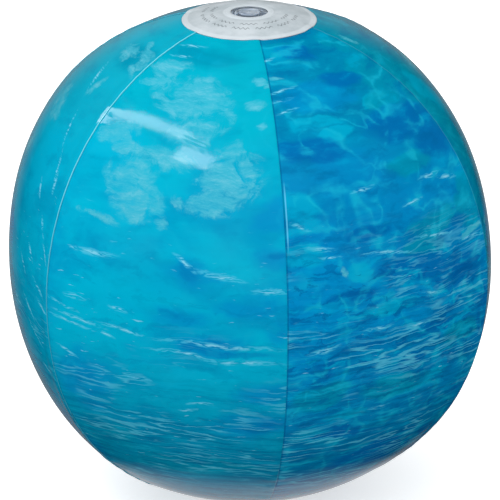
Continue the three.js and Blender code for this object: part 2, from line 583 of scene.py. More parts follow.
def ragged_patches(tree, plan, patches, softness, noise_value):
    """White inside any of the patches, with an edge that a noise makes ragged."""
    wear = add_node(
        tree,
        "ShaderNodeMapRange",
        {"Value": noise_value, "From Min": 0.32, "From Max": 0.68, "To Min": 0.4, "To Max": 1.6},
    )
    inside = nearest_patch(tree, plan, patches)
    worn = add_node(tree, "ShaderNodeMath", {0: inside, 1: wear.outputs["Result"]}, operation="MULTIPLY")
    return where(tree, (worn.outputs[0], 0.08, softness + 0.08))


PrintPlan = namedtuple("PrintPlan", "flat seeded up torn torn_seeded bent bent_seeded")


def print_plan(tree, seed):
    """A gore's flat plan, as it is and pushed about by a turbulence. The seeded ones are for the noises."""
    flat = add_node(tree, "ShaderNodeUVMap", uv_map="gore_plan").outputs[0]
    offset = (seed, -seed, seed)
    seeded = add_node(tree, "ShaderNodeVectorMath", {0: flat, 1: offset}, operation="ADD").outputs[0]
    swirl = add_node(
        tree,
        "ShaderNodeTexNoise",
        {"Vector": seeded, "Scale": per(42), "Detail": 7.0, "Roughness": 0.62},
    )
    centred = add_node(
        tree, "ShaderNodeVectorMath", {0: swirl.outputs["Color"], 1: (0.5, 0.5, 0.5)}, operation="SUBTRACT"
    )
    pushed = []
    # Torn by up to 10 mm across and 7.5 mm up, or bent by about half as much.
    for across, up in ((20 * MM, 15 * MM), (11 * MM, 8.25 * MM)):
        moved = add_node(
            tree,
            "ShaderNodeVectorMath",
            {0: centred.outputs[0], 1: (across, up, 0), 2: flat},
            operation="MULTIPLY_ADD",
        ).outputs[0]
        pushed.append(moved)
        pushed.append(
            add_node(tree, "ShaderNodeVectorMath", {0: moved, 1: offset}, operation="ADD").outputs[0]
        )
    split = add_node(tree, "ShaderNodeSeparateXYZ", {0: flat})
    return PrintPlan(flat, seeded, split.outputs["Y"], *pushed)


def water_areas(tree, plan, layout, swells, drifts):
    """The wide colours: two waters that drift into each other, areas with ragged edges, and mottling."""
    color = add_node(
        tree,
        "ShaderNodeMix",
        {
            FACTOR: where(tree, (drifts, 0.4, 0.62)),
            COLOR_A: linear(layout["water"]),
            COLOR_B: linear(layout["second"]),
        },
        data_type="RGBA",
    ).outputs[COLOR_OUT]
    color = tint(tree, where(tree, (plan.up, 10 * MM, -110 * MM)), 0.7, color, layout["low"])
    color = tint(tree, where(tree, (plan.up, 50 * MM, 140 * MM)), 0.85, color, layout["high"])
    for area, strength, shade in (
        ("pale", 0.62, "#00b0d2"),
        ("teal", 0.8, "#008fae"),
        ("blue", 0.7, "#0089c4"),
        ("deep", layout["depth"], "#006aae"),
    ):
        mask = ragged_patches(tree, plan.torn, layout[area], layout["softness"], swells)
        color = tint(tree, mask, strength, color, shade)
    color = tint(tree, where(tree, (swells, 0.5, 0.3)), layout["mottle"], color, "#005f9a")
    return tint(tree, where(tree, (swells, 0.5, 0.72)), layout["mottle"], color, "#00b0d8")


def waves(tree, plan, layout, swells, drifts, color):
    """Light veins, then chop, ripples and threads, which are finer down the ball, like water far away."""
    # Veins: sunlight gathered in thin lines between swells about 27 mm apart.
    caustics = add_node(
        tree,
        "ShaderNodeTexNoise",
        {"Vector": plan.torn_seeded, "Scale": per(27), "Detail": 2.0, "Roughness": 0.5, "Distortion": 0.6},
    )
    centred = add_node(tree, "ShaderNodeMath", {0: caustics.outputs["Fac"], 1: 0.5}, operation="SUBTRACT")
    away = add_node(tree, "ShaderNodeMath", {0: centred.outputs[0]}, operation="ABSOLUTE").outputs[0]
    veins = where(tree, (away, 0.06, 0.0), (swells, 0.38, 0.6))
    color = tint(tree, veins, layout["veins"], color, "#18b9d4")

    # Chop: short steep waves 20 mm long and 7.5 mm high, with dark faces and light crests.
    chop = streaks(tree, plan.torn_seeded, 20, 7.5, 6.0, 0.64, 0.8)
    for low, high, shade in ((0.46, 0.39, "#005a9c"), (0.56, 0.64, "#00aed6")):
        face = where(tree, (chop, low, high), (plan.up, 70 * MM, 20 * MM), (plan.up, -90 * MM, -20 * MM))
        color = tint(tree, face, layout["chop"], color, shade)

    # Ripples: troughs and crests 34 mm long and 3 mm high, stronger down the ball.
    ripples = streaks(tree, plan.bent_seeded, 34, 2.9, 6.0, 0.7)
    top = layout["ripple_top"] * MM
    for low, high, strength, shade in ((0.5, 0.4, 0.45, "#005c8c"), (0.55, 0.64, 0.55, "#18b2d4")):
        line = where(tree, (ripples, low, high), (plan.up, top, top - 85 * MM))
        color = tint(tree, line, strength, color, shade)

    # Threads: long bright lines under 1 mm wide, in bundles of several side by side.
    contours = streaks(tree, plan.bent_seeded, 90, 9, 3.0, 0.55, 0.3)
    threads = hair_lines(tree, contours, 8.0, 0.24, 0.0)
    threads = where(tree, (drifts, 0.46, 0.6), (plan.up, top + 20 * MM, top - 50 * MM), mask=threads)
    return tint(tree, threads, layout["threads"], color, "#5ccbe4")


def foam(tree, plan, layout, color):
    """A thin pale wash in patches, torn into shreds of 3 to 15 mm and brushed sideways."""
    shreds = add_node(
        tree,
        "ShaderNodeTexNoise",
        {"Vector": plan.torn_seeded, "Scale": per(15), "Detail": 8.0, "Roughness": 0.68, "Distortion": 0.9},
    )
    froth = streaks(tree, plan.torn_seeded, 13, 4, 6.0, 0.78, tilt=-14)
    near_foam = nearest_patch(tree, plan.torn, layout["foam"])
    lace = add_node(
        tree,
        "ShaderNodeMath",
        {0: shreds.outputs["Fac"], 1: 3.4, 2: near_foam},
        operation="MULTIPLY_ADD",
    ).outputs[0]
    wash = where(tree, (lace, 1.72, 2.45), (near_foam, 0.0, 0.22), (froth, 0.18, 0.58))
    color = tint(tree, wash, 0.84, color, "#46b8cf")
    return tint(tree, where(tree, (froth, 0.46, 0.7), mask=wash), 0.42, color, "#80cada")


def broken_crests(tree, plan, layout, color):
    """Strokes of light hairs under 1 mm wide, and small glints near and below the equator."""
    hairs = hair_lines(tree, streaks(tree, plan.bent_seeded, 14, 2.2, 3.0), 5.0, 0.42, 0.08)
    stroke = nearest_patch(tree, plan.bent, layout["strokes"])
    for low, high, strength, shade in ((0.0, 0.4, 0.6, "#4cc4e2"), (0.45, 0.9, 0.72, "#90d9ee")):
        color = tint(tree, where(tree, (stroke, low, high), mask=hairs), strength, color, shade)
    specks = streaks(tree, plan.bent_seeded, 9, 1.3, 3.0)
    glints = where(tree, (specks, 0.68, 0.78), (plan.up, 90 * MM, 10 * MM))
    return tint(tree, glints, 0.75, color, "#7ccfe6")


def seam_lines_with_painted_light(tree, plan, layout, color):
    """Fine lines along the seams: a pale hairline, and beside the weld's groove a painted shade and a
    painted highlight.
    """
    to_edge = add_node(tree, "ShaderNodeUVMap", uv_map="edge_distance").outputs[0]
    split = add_node(tree, "ShaderNodeSeparateXYZ", {0: to_edge})
    to_upper, to_lower = split.outputs["X"], split.outputs["Y"]
    # Where this film lies on top, a pale hairline runs along its cut edge, from 30 mm below to 90 mm above
    # the equator.
    margin = where(tree, (to_upper, 0.8 * MM, 0.5 * MM), (plan.up, -30 * MM, 90 * MM))
    color = tint(tree, margin, layout["margin"], color, "#78deee")
    # Where it lies below, a hairline beside the neighbour's edge is painted dark, as painted shade of the
    # weld's groove.
    beside = where(tree, (to_lower, 1.15 * MM, 0.65 * MM))
    color = tint(tree, beside, layout["painted_groove_shade"], color, "#005c92")
    # A short painted highlight, standing in for light on the film's ridge beside the groove, runs beside
    # that hairline above the equator.
    painted_ridge_highlight = where(
        tree,
        (to_lower, 1.1 * MM, 1.3 * MM),
        (to_lower, 2.1 * MM, 1.8 * MM),
        (plan.up, 46 * MM, 56 * MM),
        (plan.up, 88 * MM, 78 * MM),
    )
    return tint(tree, painted_ridge_highlight, layout["painted_seam_highlight"], color, "#5fc8f0")


def printed_film(name, layout):
    """Heat-welded PVC film, gravure printed with a picture of the sea and calendered glossy."""
    # The eye sees saturated water colours with no white in their darks, pale torn foam, thin light
    # lines of ripples, and over them the clean wide reflections of a plasticised film.
    material, tree = new_material(name)
    plan = print_plan(tree, layout["seed"])
    swells = streaks(tree, plan.torn_seeded, 22, 10, 6.0, 0.58)
    drifts = streaks(tree, plan.torn_seeded, 60, 30, 4.0)
    color = water_areas(tree, plan, layout, swells, drifts)
    color = waves(tree, plan, layout, swells, drifts, color)
    color = foam(tree, plan, layout, color)
    color = broken_crests(tree, plan, layout, color)
    color = seam_lines_with_painted_light(tree, plan, layout, color)

    # Handling leaves the gloss a little uneven, and the film has tiny dents and here and there a crease.
    wiped = add_node(
        tree,
        "ShaderNodeTexNoise",
        {"Vector": plan.seeded, "Scale": per(35), "Detail": 5.0, "Roughness": 0.6},
    )
    roughness = add_node(
        tree,
        "ShaderNodeMapRange",
        {"Value": wiped.outputs["Fac"], "From Min": 0.35, "From Max": 0.7, "To Min": 0.05, "To Max": 0.11},
    )
    dents = add_node(
        tree,
        "ShaderNodeTexNoise",
        {"Vector": plan.seeded, "Scale": per(11), "Detail": 6.0, "Roughness": 0.6},
    )
    bump = add_node(
        tree,
        "ShaderNodeBump",
        {"Height": dents.outputs["Fac"], "Strength": 1.0, "Distance": 0.11 * MM},
    )
    if layout["creases"]:
        bump = add_node(
            tree,
            "ShaderNodeBump",
            {
                "Height": nearest_patch(tree, plan.flat, layout["creases"]),
                "Strength": 1.0,
                "Distance": 0.14 * MM,
                "Normal": bump.outputs["Normal"],
            },
        )
    shader = add_node(
        tree,
        "ShaderNodeBsdfPrincipled",
        {
            "Base Color": color,
            "Roughness": roughness.outputs["Result"],
            "IOR": 1.53,
            "Normal": bump.outputs["Normal"],
        },
    )
    finish_material(tree, shader)
    return material


def unprinted_film():
    """The same PVC film where it carries no print: its inner side and its cut edges."""
    # Turquoise and dull: the print behind it glows through the film, which isn't quite opaque.
    material, tree = new_material("unprinted_pvc_film")
    place = add_node(tree, "ShaderNodeTexCoord").outputs["Object"]
    haze = add_node(tree, "ShaderNodeTexNoise", {"Vector": place, "Scale": per(20), "Detail": 3.0})
    color = add_node(
        tree,
        "ShaderNodeMix",
        {
            FACTOR: where(tree, (haze.outputs["Fac"], 0.35, 0.65)),
            COLOR_A: linear("#34b2cc"),
            COLOR_B: linear("#50c0d6"),
        },
        data_type="RGBA",
    )
    shader = add_node(
        tree,
        "ShaderNodeBsdfPrincipled",
        {"Base Color": color.outputs[COLOR_OUT], "Roughness": 0.55, "IOR": 1.53},
    )
    finish_material(tree, shader)
    return material


def printed_waves(tree, radius, angle, ring_radius, waves):
    """White on a line that waves 0.75 mm in and out of a ring, broken into strokes of five waves."""
    turning = add_node(tree, "ShaderNodeMath", {0: angle, 1: float(waves)}, operation="MULTIPLY")
    sine = add_node(tree, "ShaderNodeMath", {0: turning.outputs[0]}, operation="SINE")
    crest = add_node(
        tree, "ShaderNodeMath", {0: sine.outputs[0], 1: 0.75 * MM, 2: ring_radius}, operation="MULTIPLY_ADD"
    )
    away = add_node(tree, "ShaderNodeMath", {0: radius, 1: crest.outputs[0]}, operation="SUBTRACT")
    distance = add_node(tree, "ShaderNodeMath", {0: away.outputs[0]}, operation="ABSOLUTE")
    slow = add_node(tree, "ShaderNodeMath", {0: angle, 1: waves / 5.0}, operation="MULTIPLY")
    stroke = add_node(tree, "ShaderNodeMath", {0: slow.outputs[0]}, operation="SINE")
    # The strokes run from the back left round the front to the front right.
    turned = add_node(tree, "ShaderNodeMath", {0: angle, 1: 2.0}, operation="ADD")
    reach = add_node(tree, "ShaderNodeMath", {0: turned.outputs[0]}, operation="COSINE")
    return where(
        tree,
        (distance.outputs[0], 0.5 * MM, 0.2 * MM),
        (stroke.outputs[0], -0.8, -0.6),
        (reach.outputs[0], -0.35, -0.3),
    )


def white_film(name, marked):
    """White calendered PVC film, satin, welded flat. The top disc has two rings of small printed waves."""
    # A cool light grey, cloudy where the film below shows through, lighter in the welded bands.
    material, tree = new_material(name)
    place = add_node(tree, "ShaderNodeTexCoord").outputs["Object"]
    cloud = add_node(
        tree, "ShaderNodeTexNoise", {"Vector": place, "Scale": per(16), "Detail": 5.0, "Roughness": 0.6}
    )
    color = add_node(
        tree,
        "ShaderNodeMix",
        {
            FACTOR: where(tree, (cloud.outputs["Fac"], 0.35, 0.68)),
            COLOR_A: linear("#b9c3c8"),
            COLOR_B: linear("#cdd5da"),
        },
        data_type="RGBA",
    ).outputs[COLOR_OUT]
    split = add_node(tree, "ShaderNodeSeparateXYZ", {0: place})
    x, y = split.outputs["X"], split.outputs["Y"]
    level = add_node(tree, "ShaderNodeCombineXYZ", {"X": x, "Y": y}).outputs[0]
    radius = add_node(tree, "ShaderNodeVectorMath", {0: level}, operation="LENGTH").outputs["Value"]
    weld = add_node(
        tree,
        "ShaderNodeMath",
        {0: where(tree, (radius, 15.6 * MM, 14 * MM)), 1: where(tree, (radius, 34.5 * MM, 35.5 * MM))},
        operation="MAXIMUM",
    ).outputs[0]
    color = tint(tree, weld, 0.55, color, "#dbe3e8")
    if marked:
        angle = add_node(tree, "ShaderNodeMath", {0: y, 1: x}, operation="ARCTAN2").outputs[0]
        for ring_radius, waves_round in ((26.7 * MM, 62), (21.5 * MM, 50)):
            mask = printed_waves(tree, radius, angle, ring_radius, waves_round)
            color = tint(tree, mask, 0.75, color, "#4d565d")
    grain = add_node(
        tree, "ShaderNodeTexNoise", {"Vector": place, "Scale": per(1.6), "Detail": 3.0, "Roughness": 0.6}
    )
    bump = add_node(
        tree,
        "ShaderNodeBump",
        {"Height": grain.outputs["Fac"], "Strength": 0.6, "Distance": 0.05 * MM},
    )
    shader = add_node(
        tree,
        "ShaderNodeBsdfPrincipled",
        {"Base Color": color, "Roughness": 0.36, "IOR": 1.53, "Normal": bump.outputs["Normal"]},
    )
    finish_material(tree, shader)
    return material


def clear_pvc():
    """Injection-moulded soft PVC, clear with a blue-grey cast."""
    # Light goes into it and comes back milky grey-blue; the moulded skin gives small sharp glints.
    material, tree = new_material("clear_moulded_pvc")
    place = add_node(tree, "ShaderNodeTexCoord").outputs["Object"]
    # The light and dark mottling is painted refraction: it stands in for what the clear plastic shows bent
    # through it.
    painted_refraction = add_node(
        tree, "ShaderNodeTexNoise", {"Vector": place, "Scale": per(5), "Detail": 3.0, "Roughness": 0.5}
    )
    color = add_node(
        tree,
        "ShaderNodeMix",
        {
            FACTOR: where(tree, (painted_refraction.outputs["Fac"], 0.3, 0.7)),
            COLOR_A: linear("#a3b2c4"),
            COLOR_B: linear("#ccd7e3"),
        },
        data_type="RGBA",
    )
    ripple = add_node(
        tree, "ShaderNodeTexNoise", {"Vector": place, "Scale": per(3), "Detail": 2.0, "Roughness": 0.5}
    )
    bump = add_node(
        tree,
        "ShaderNodeBump",
        {"Height": ripple.outputs["Fac"], "Strength": 0.8, "Distance": 0.22 * MM},
    )
    shader = add_node(
        tree,
        "ShaderNodeBsdfPrincipled",
        {
            "Base Color": color.outputs[COLOR_OUT],
            "Roughness": 0.14,
            "IOR": 1.53,
            "Transmission Weight": 0.25,
            "Subsurface Weight": 0.3,
            "Subsurface Radius": (1.2 * MM, 1.4 * MM, 1.7 * MM),
            "Subsurface Scale": 1.0,
            "Normal": bump.outputs["Normal"],
        },
    )
    finish_material(tree, shader)
    return material


# ---- Shapes --------------------------------------------------------------------------------------


def section_arc(t):
    """Where a gore's arc is centred and how wide it is at the angle t, in shares of the seam's radius."""
    pull = -EQUATOR_PULL + PULL_EASE * math.sin(t) ** 2
    return pull, math.hypot(math.sin(HALF_GORE), math.cos(HALF_GORE) - pull)


def seam_radius(size, t):
    """Distance from the ball's axis to a seam at the angle t."""
    total = abs(math.cos(t)) ** FULLNESS + abs(math.sin(t) / POLE_RATIO) ** FULLNESS
    return size * math.cos(t) * total ** (-1 / FULLNESS)


def ball_point(size, t, turn):
    """A point of the ball at the angle t and at a turn from the gore's middle line, as (radius, height)."""
    from_middle = abs(turn)
    if from_middle > HALF_GORE:
        from_middle = 2 * HALF_GORE - from_middle
    pull, arc_radius = section_arc(t)
    section = pull * math.cos(from_middle) + math.sqrt(arc_radius**2 - (pull * math.sin(from_middle)) ** 2)
    radius = seam_radius(size, t)
    return radius * section, CENTRE_Z + radius * math.tan(t)


def dome_height(size, radius):
    """Height over the ball's centre of a dome of that size, at a distance from the axis."""
    return POLE_RATIO * size * (1 - (radius / size) ** FULLNESS) ** (1 / FULLNESS)


def seam_relief(seam, across, along, radius, film):
    """Height of the groove at a seam and of the small folds that the weld draws into the film beside it."""
    near_disc = ease(60 * MM, 150 * MM, abs(along))
    folds = noise.noise(Vector((along / film.fold_pitch, across / (30 * MM), seam * 5.3)))
    fine_pitch = 0.45 * film.fold_pitch
    fine_folds = noise.noise(Vector((along / fine_pitch, across / (16 * MM), seam * 9.1 + 40)))
    fade = math.exp(-((across / film.fold_reach) ** 2))
    strength = film.fold_height * (0.35 + 0.65 * near_disc)
    strength *= ease(DISC_RADIUS, DISC_RADIUS + 9 * MM, radius)
    groove = -film.groove_depth * math.exp(-((across / (1.0 * MM)) ** 2))
    ridge = 0.25 * film.groove_depth * math.exp(-(((abs(across) - 3.2 * MM) / (1.8 * MM)) ** 2))
    return strength * fade * (folds + 0.5 * fine_folds) + groove + ridge


class BeachBallFilm(bpy.types.PropertyGroup):
    """Sizes of the printed film."""

    thickness: bpy.props.FloatProperty(
        name="Film thickness", description="Thickness of the PVC film",
        default=0.3 * MM, min=0.1 * MM, max=1 * MM, precision=5, unit="LENGTH",
    )
    lap: bpy.props.FloatProperty(
        name="Lap", description="Width of the welded lap at each seam",
        default=3 * MM, min=1 * MM, max=8 * MM, precision=5, unit="LENGTH",
    )
    lap_step: bpy.props.FloatProperty(
        name="Lap step", description="Length over which the upper film rises onto the lap",
        default=7 * MM, min=0.5 * MM, max=15 * MM, precision=5, unit="LENGTH",
    )
    groove_depth: bpy.props.FloatProperty(
        name="Seam groove", description="How deep the weld sinks along a seam",
        default=0.12 * MM, min=0, max=1 * MM, precision=5, unit="LENGTH",
    )
    fold_height: bpy.props.FloatProperty(
        name="Fold height", description="Height of the small folds beside a seam, near the discs",
        default=0.32 * MM, min=0, max=2 * MM, precision=5, unit="LENGTH",
    )
    fold_pitch: bpy.props.FloatProperty(
        name="Fold pitch", description="Distance from fold to fold along a seam",
        default=6.5 * MM, min=2 * MM, max=30 * MM, precision=5, unit="LENGTH",
    )
    fold_reach: bpy.props.FloatProperty(
        name="Fold reach", description="How far the folds run from the seam",
        default=10 * MM, min=2 * MM, max=40 * MM, precision=5, unit="LENGTH",
    )
    sway: bpy.props.FloatProperty(
        name="Sway", description="Height of the wide uneven swells of the stretched film",
        default=0.35 * MM, min=0, max=3 * MM, precision=5, unit="LENGTH",
    )


LAP_LIFT = 1.15  # how far a film rises over a lap, in thicknesses of the film below
GORE_COLUMNS = 110
GORE_ROWS = 280


def gore_object(index, film, materials):
    """One gore: a grid laid on the ball, under its neighbour at one seam and over the other at the next."""
    middle = -math.pi / 2 + (2 * index - 1) * HALF_GORE
    bm = bmesh.new()
    bmesh.ops.create_grid(bm, x_segments=GORE_COLUMNS, y_segments=GORE_ROWS, size=1.0)
    plan = bm.loops.layers.uv.new("gore_plan")
    edge_distance = bm.loops.layers.uv.new("edge_distance")

    # Each row's distance up the middle line from the equator.
    heights = sorted({round(vert.co.y, 5) for vert in bm.verts})
    climb = {}
    total = 0.0
    last = None
    for height in heights:
        radius, z = ball_point(SEAM_RADIUS, height * GORE_END_ANGLE, 0.0)
        if last is not None:
            total += math.hypot(radius - last[0], z - last[1])
        climb[height] = total
        last = (radius, z)

    flat_places = {}
    for vert in bm.verts:
        t = vert.co.y * GORE_END_ANGLE
        rim = seam_radius(SEAM_RADIUS, t)
        # Columns stand closer together towards both edges, where the film steps and folds.
        spread = 0.32 * vert.co.x + 0.68 * math.sin(vert.co.x * math.pi / 2)
        half_under = HALF_GORE + film.lap / rim
        turn = spread * (HALF_GORE if spread > 0 else half_under)
        along = climb[round(vert.co.y, 5)] - total / 2
        to_upper_edge = (HALF_GORE - turn) * rim
        to_lower_seam = (HALF_GORE + turn) * rim
        lift = LAP_LIFT * film.thickness * (1 - ease(film.lap, film.lap + film.lap_step, to_upper_edge))
        relief = seam_relief(index + 1, -to_upper_edge, along, rim, film)
        relief += seam_relief(index if index else GORES, to_lower_seam, along, rim, film)
        radius, z = ball_point(SEAM_RADIUS, t, turn)
        place = Vector((radius * math.cos(middle + turn), radius * math.sin(middle + turn), z))
        swell = film.sway * noise.noise(place / (48 * MM)) * ease(0, 25 * MM, rim - GORE_END_RADIUS)
        radius, z = ball_point(SEAM_RADIUS + lift + relief + swell, t, turn)
        vert.co = (radius * math.cos(middle + turn), radius * math.sin(middle + turn), z)
        arc_radius = section_arc(t)[1]
        off_middle = ball_point(1.0, t, turn)[0] / seam_radius(1.0, t) * abs(math.sin(turn))
        share = min(1.0, off_middle / arc_radius)
        across = math.copysign(arc_radius * rim * math.asin(share), turn)
        flat_places[vert] = ((across, along), (to_upper_edge, to_lower_seam))
    for face in bm.faces:
        for loop in face.loops:
            loop[plan].uv, loop[edge_distance].uv = flat_places[loop.vert]

    piece = make_object(f"printed_gore_{index + 1}", bm, materials)
    wall = piece.modifiers.new("film thickness", "SOLIDIFY")
    wall.thickness = film.thickness
    wall.offset = 0
    wall.material_offset = 1
    wall.material_offset_rim = 1
    return piece


class BEACHBALL_OT_gores(bpy.types.Operator):
    """Lays the six printed film gores on the frame"""

    bl_idname = "beach_ball.gores"
    bl_label = "Film gores"

    def execute(self, context):
        film = context.scene.beach_ball_film
        bare = unprinted_film()
        for index, layout in enumerate(GORE_PRINTS):
            printed = printed_film(f"printed_pvc_film_{index + 1}", layout)
            piece = gore_object(index, film, [printed, bare])
            stand_for(piece, f"gore_panel_{index + 1}", "ball")
        return {"FINISHED"}


class BeachBallDiscs(bpy.types.PropertyGroup):
    """Sizes of the white discs."""

    thickness: bpy.props.FloatProperty(
        name="Disc film thickness", description="Thickness of the white film",
        default=0.3 * MM, min=0.1 * MM, max=1 * MM, precision=5, unit="LENGTH",
    )
    ring_height: bpy.props.FloatProperty(
        name="Weld ring height", description="How far the disc stands up over the valve's flange",
        default=0.4 * MM, min=0, max=1.5 * MM, precision=5, unit="LENGTH",
    )


DISC_STEPS = 216
DISC_RINGS = 56
DISC_UNEVENNESS = 0.14 * MM  # what heat and tension leave in the white film


def disc_rise(radius):
    """How far a disc's outer face lies outside the seams' surface: it sinks onto the gores at its rim."""
    at_middle = DISC_SIZE - SEAM_RADIUS
    at_rim = 0.66 * MM
    return at_middle + (at_rim - at_middle) * ease(23 * MM, 36 * MM, radius)


def over_laps(angle, radius, film):
    """Height of the bumps where a disc's rim passes over the gores' laps."""
    step = 2 * HALF_GORE
    from_seam = ((angle + math.pi / 2 + HALF_GORE) % step - HALF_GORE) * radius
    rise = ease(-film.lap - film.lap_step, -film.lap, from_seam) * (1 - ease(0, 1.8 * MM, from_seam))
    return LAP_LIFT * film.thickness * rise * ease(31 * MM, 35 * MM, radius)


def spun(profile, steps, closed):
    """Turns (radius, height) points round the ball's axis. A closed profile gives a solid ring."""
    bm = bmesh.new()
    verts = [bm.verts.new((radius, 0, z)) for radius, z in profile]
    pairs = list(zip(verts, verts[1:]))
    if closed:
        pairs.append((verts[-1], verts[0]))
    edges = [bm.edges.new(pair) for pair in pairs]
    bmesh.ops.spin(
        bm,
        geom=verts + edges,
        cent=(0, 0, 0),
        axis=(0, 0, 1),
        dvec=(0, 0, 0),
        angle=2 * math.pi,
        steps=steps,
        use_merge=True,
        use_duplicate=False,
    )
    bmesh.ops.remove_doubles(bm, verts=bm.verts[:], dist=1e-7)
    bmesh.ops.recalc_face_normals(bm, faces=bm.faces[:])
    return bm


def face_up(bm, up):
    """Turns an open dome's faces so that they look up or down."""
    total = sum(face.normal.z for face in bm.faces)
    if (total > 0) != up:
        bmesh.ops.reverse_faces(bm, faces=bm.faces[:])


def disc_object(name, side, discs, film, material):
    """A polar disc: side 1 is the top one with the valve's hole, side -1 the flattened bottom one."""
    inner = VALVE_HOLE_RADIUS if side > 0 else 0.0
    radii = [inner + (DISC_RADIUS - inner) * i / DISC_RINGS for i in range(DISC_RINGS + 1)]
    bm = spun([(radius, 0.0) for radius in radii], DISC_STEPS, closed=False)
    bm.normal_update()
    face_up(bm, side > 0)
    for vert in bm.verts:
        radius = math.hypot(vert.co.x, vert.co.y)
        angle = math.atan2(vert.co.y, vert.co.x)
        size = SEAM_RADIUS + disc_rise(radius) + over_laps(angle, radius, film)
        unevenness = DISC_UNEVENNESS * noise.noise(Vector((vert.co.x, vert.co.y, side)) / (9 * MM))
        height = dome_height(size, radius)
        if side > 0:
            ring = ease(10.6 * MM, 11.4 * MM, radius) * (1 - ease(13.7 * MM, 14.9 * MM, radius))
            beads = 0.12 * MM * math.cos((radius - 12.5 * MM) / (0.75 * MM) * math.pi) * ring
            height += discs.ring_height * (ring - 1) * (1 - ease(14 * MM, 18 * MM, radius)) + beads
            height += unevenness * ease(15 * MM, 19 * MM, radius) - DISC_UNEVENNESS
        else:
            height = dome_height(size, max(radius, PATCH_RADIUS))
            height += (unevenness - DISC_UNEVENNESS) * ease(17 * MM, 22 * MM, radius)
        vert.co.z = CENTRE_Z + side * height
    piece = make_object(name, bm, [material])
    wall = piece.modifiers.new("film thickness", "SOLIDIFY")
    wall.thickness = discs.thickness
    wall.offset = -1
    return piece


class BEACHBALL_OT_discs(bpy.types.Operator):
    """Lays the two white polar discs over the gores' ends"""

    bl_idname = "beach_ball.discs"
    bl_label = "Polar discs"

    def execute(self, context):
        discs, film = context.scene.beach_ball_discs, context.scene.beach_ball_film
        top = disc_object("white_disc_top", 1, discs, film, white_film("white_pvc_film_marked", True))
        bottom = disc_object("white_disc_bottom", -1, discs, film, white_film("white_pvc_film", False))
        stand_for(top, "top_disc", "ball")
        stand_for(bottom, "bottom_disc", "ball")
        return {"FINISHED"}


class BeachBallValve(bpy.types.PropertyGroup):
    """Sizes of the valve's moulded details."""

    edge_round: bpy.props.FloatProperty(
        name="Edge rounding", description="Radius of the moulded edges",
        default=0.22 * MM, min=0.05 * MM, max=0.4 * MM, precision=5, unit="LENGTH",
    )
    head_dish: bpy.props.FloatProperty(
        name="Head dish", description="Depth of the hollow in the plug's head",
        default=0.45 * MM, min=0, max=0.9 * MM, precision=5, unit="LENGTH",
    )


VALVE_STEPS = 96


def rounded(piece, width):
    """Rounds a moulded piece's sharp edges."""
    bevel = piece.modifiers.new("moulded edges", "BEVEL")
    bevel.width = width
    bevel.segments = 3
    bevel.limit_method = "ANGLE"
    bevel.angle_limit = math.radians(35)
    return piece


def flange_object(material):
    """The ring under the disc's hole, to which the film is welded."""
    low, high = FLANGE_BOX[0].z, FLANGE_BOX[1].z
    drop = high - low - MOULDED_WALL
    sunk = 0.5 * MM
    profile = [
        (VALVE_BORE_RADIUS, high - MOULDED_WALL),
        (FLANGE_RADIUS, low + 0.02 * MM - sunk / 2),
        (FLANGE_RADIUS, low + MOULDED_WALL - sunk),
        (VALVE_BORE_RADIUS + 0.5 * MM, high - sunk - drop / 4),
        (VALVE_BORE_RADIUS, high),
    ]
    return rounded(make_object("flange_ring", spun(profile, VALVE_STEPS, True), [material]), 0.1 * MM)


def skirt_object(material):
    """The thin rolling skirt from the flange to the stem's foot."""
    top, bottom = SKIRT_BOX[1].z, SKIRT_BOX[0].z
    foot = bottom + MOULDED_WALL
    foot_radius = STEM_RADIUS + 0.05 * MM
    points = 18
    outside = interpolate_bezier(
        Vector((foot_radius, bottom, 0)),
        Vector((foot_radius + 2.6 * MM, bottom, 0)),
        Vector((VALVE_BORE_RADIUS + MOULDED_WALL, top - 7 * MM, 0)),
        Vector((VALVE_BORE_RADIUS + MOULDED_WALL, top, 0)),
        points,
    )
    inside = interpolate_bezier(
        Vector((VALVE_BORE_RADIUS, top, 0)),
        Vector((VALVE_BORE_RADIUS, top - 6.4 * MM, 0)),
        Vector((foot_radius + 2 * MM, foot, 0)),
        Vector((foot_radius, foot, 0)),
        points,
    )
    profile = [(point.x, point.y) for point in outside + inside]
    return make_object("rolling_skirt", spun(profile, VALVE_STEPS, True), [material])


def stem_object(valve, material):
    """The mouth tube, with a rolled lip."""
    top, bottom = STEM_BOX[1].z, STEM_BOX[0].z
    lip, outer, bore = 4.9 * MM, STEM_RADIUS, 3.2 * MM
    profile = [
        (bore, bottom),
        (outer - 0.2 * MM, bottom),
        (outer, bottom + 0.3 * MM),
        (outer, top - 1.6 * MM),
        (lip, top - 1.0 * MM),
        (lip, top - 0.35 * MM),
        (lip - 0.35 * MM, top),
        (bore + 0.25 * MM, top),
        (bore, top - 0.4 * MM),
    ]
    bm = spun(profile, VALVE_STEPS, True)
    return rounded(make_object("mouth_stem", bm, [material]), valve.edge_round)


def plug_object(valve, material):
    """The stopper: a dished round head on a tapering nose."""
    top, bottom = PLUG_BOX[1].z, PLUG_BOX[0].z
    head_radius = PLUG_BOX[1].x
    head_bottom = top - 1.4 * MM
    dish = valve.head_dish
    profile = [
        (0.0, bottom),
        (1.7 * MM, bottom),
        (2.2 * MM, bottom + 0.5 * MM),
        (2.6 * MM, head_bottom - 2.2 * MM),
        (2.75 * MM, head_bottom - 1.6 * MM),
        (2.95 * MM, head_bottom),
        (head_radius - 0.2 * MM, head_bottom),
        (head_radius, head_bottom + 0.3 * MM),
        (head_radius, top - 0.5 * MM),
        (head_radius - 0.5 * MM, top),
        (head_radius - 1.3 * MM, top),
        (head_radius - 1.9 * MM, top - dish),
        (1.1 * MM, top - dish),
        (0.8 * MM, top - dish + 0.25 * MM),
        (0.0, top - dish + 0.3 * MM),
    ]
    bm = spun(profile, VALVE_STEPS, False)
    return rounded(make_object("stopper_plug", bm, [material]), 0.6 * valve.edge_round)


